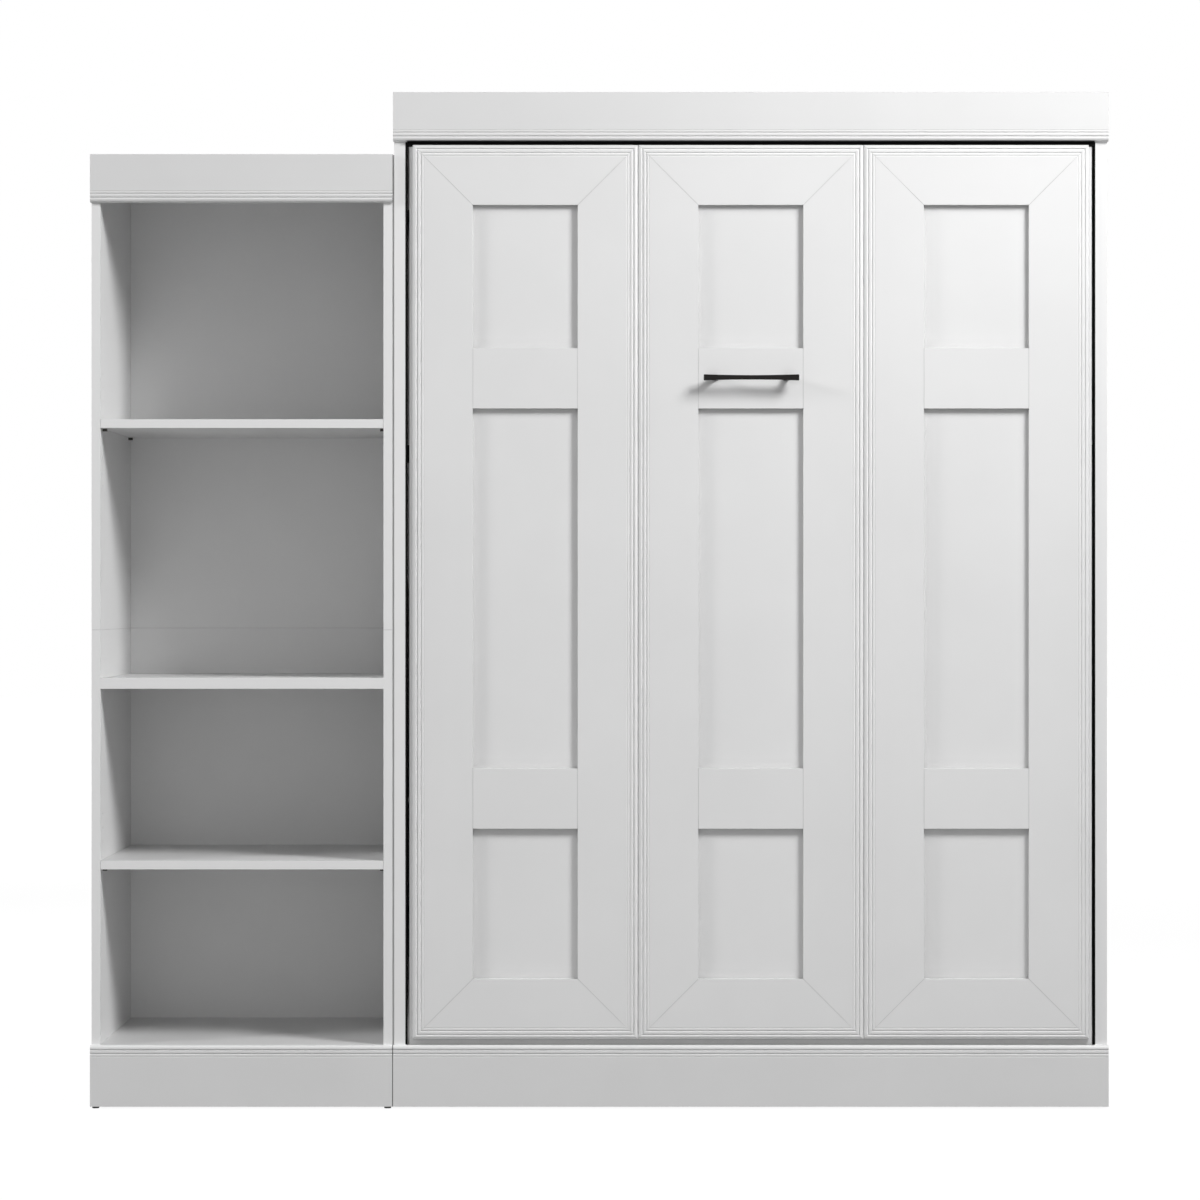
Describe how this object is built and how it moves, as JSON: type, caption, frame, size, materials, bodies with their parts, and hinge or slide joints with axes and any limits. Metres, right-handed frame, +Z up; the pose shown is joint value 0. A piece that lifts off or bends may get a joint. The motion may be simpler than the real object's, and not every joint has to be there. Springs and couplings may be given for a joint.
{
  "type": "wall bed",
  "caption": "Wall bed that folds up behind framed doors in a tall cabinet, on side hinges with gas springs and a folding leg, with an open bookcase bolted beside it.",
  "frame": {"origin": "middle of the overall width and depth, on the floor under the levelling glides", "axes": "+Z up, the doors face -Y and the wall is at +Y, X runs along the wall with the bookcase at -X"},
  "size_m": [2.3316, 0.534, 2.326],
  "materials": {
    "white_board": "white satin melamine-faced board",
    "beech_wood": "sanded beech",
    "dark_bronze": "near-black satin bronze",
    "black_steel": "black powder coat",
    "zinc_steel": "zinc-plated steel",
    "black_rubber": "matt rubber",
    "black_plastic": "matt plastic",
    "mattress_fabric": "quilted knitted cover"
  },
  "bodies": {
    "cabinet": {"bookcase_back_lower": "white_board", "bookcase_back_upper": "white_board", "bookcase_bottom_panel": "white_board", "bookcase_crown_board": "white_board", "bookcase_kick_board": "white_board", "bookcase_side_left_lower": "white_board", "bookcase_side_left_upper": "white_board", "bookcase_side_right_lower": "white_board", "bookcase_side_right_upper": "white_board", "bookcase_top_panel": "white_board", "bump_stops": "black_rubber", "cabinet_crown_board": "white_board", "cabinet_kick_board": "white_board", "cabinet_screws": "zinc_steel", "cabinet_side_left": "white_board", "cabinet_side_right": "white_board", "cabinet_top_panel": "white_board", "connector_bolts": "zinc_steel", "dowels": "beech_wood", "fixed_shelf": "white_board", "floor_stretchers": "white_board", "gas_spring_brackets": "black_steel", "headboard_panel": "white_board", "hinge_pins": "zinc_steel", "hinge_plate_left": "black_steel", "hinge_plate_right": "black_steel", "levelling_glides": "black_plastic", "lower_shelf": "white_board", "shelf_pins": "zinc_steel", "upper_shelf": "white_board", "upper_wall_rail": "white_board"},
    "bed": {"front_panel": "white_board", "door_left_end_rails": "white_board", "door_left_mid_rails": "white_board", "door_left_stiles": "white_board", "door_middle_end_rails": "white_board", "door_middle_mid_rails": "white_board", "door_middle_stiles": "white_board", "door_right_end_rails": "white_board", "door_right_mid_rails": "white_board", "door_right_stiles": "white_board", "side_rail_left": "beech_wood", "side_rail_right": "beech_wood", "head_rail": "beech_wood", "foot_rail": "beech_wood", "centre_beam": "beech_wood", "slats": "beech_wood", "hinge_bracket_left": "black_steel", "hinge_bracket_right": "black_steel", "bed_screws": "zinc_steel", "mattress": "mattress_fabric", "leg_pivot_pins": "zinc_steel", "handle": "dark_bronze", "handle_screws": "zinc_steel"},
    "leg_frame": {"leg_arms": "black_steel", "leg_crossbar": "black_steel", "leg_feet": "black_rubber"},
    "gas_cylinders": {"gas_cylinders": "black_steel"},
    "gas_rods": {"gas_rods": "zinc_steel"}
  },
  "joints": [
    {"name": "bed_fold", "type": "hinge", "parent": "cabinet", "child": "bed", "pos_m": [0.3468, -0.091, 0.404], "axis": [1, 0, 0], "range_deg": [0, 90], "stiffness_Nm_per_rad": 1000, "springref_deg": -20.05},
    {"name": "leg_fold", "type": "hinge", "parent": "bed", "child": "leg_frame", "pos_m": [0.3468, -0.166, 2.05], "axis": [1, 0, 0], "range_deg": [0, 180]},
    {"name": "gas_swing", "type": "hinge", "parent": "cabinet", "child": "gas_cylinders", "pos_m": [0.3468, 0.064, 0.689], "axis": [1, 0, 0], "range_deg": [0, 18.46]},
    {"name": "gas_slide", "type": "slide", "parent": "gas_cylinders", "child": "gas_rods", "axis": [0, -0.3027, -0.9531], "range_m": [-0.19483, 0]}
  ],
  "couplings": [
    {"joint": "leg_fold", "follows": "bed_fold", "ratio": 2},
    {"joint": "gas_swing", "follows": "bed_fold", "ratio": 0.20515},
    {"joint": "gas_slide", "follows": "bed_fold", "m_per_rad": -0.12403}
  ]
}
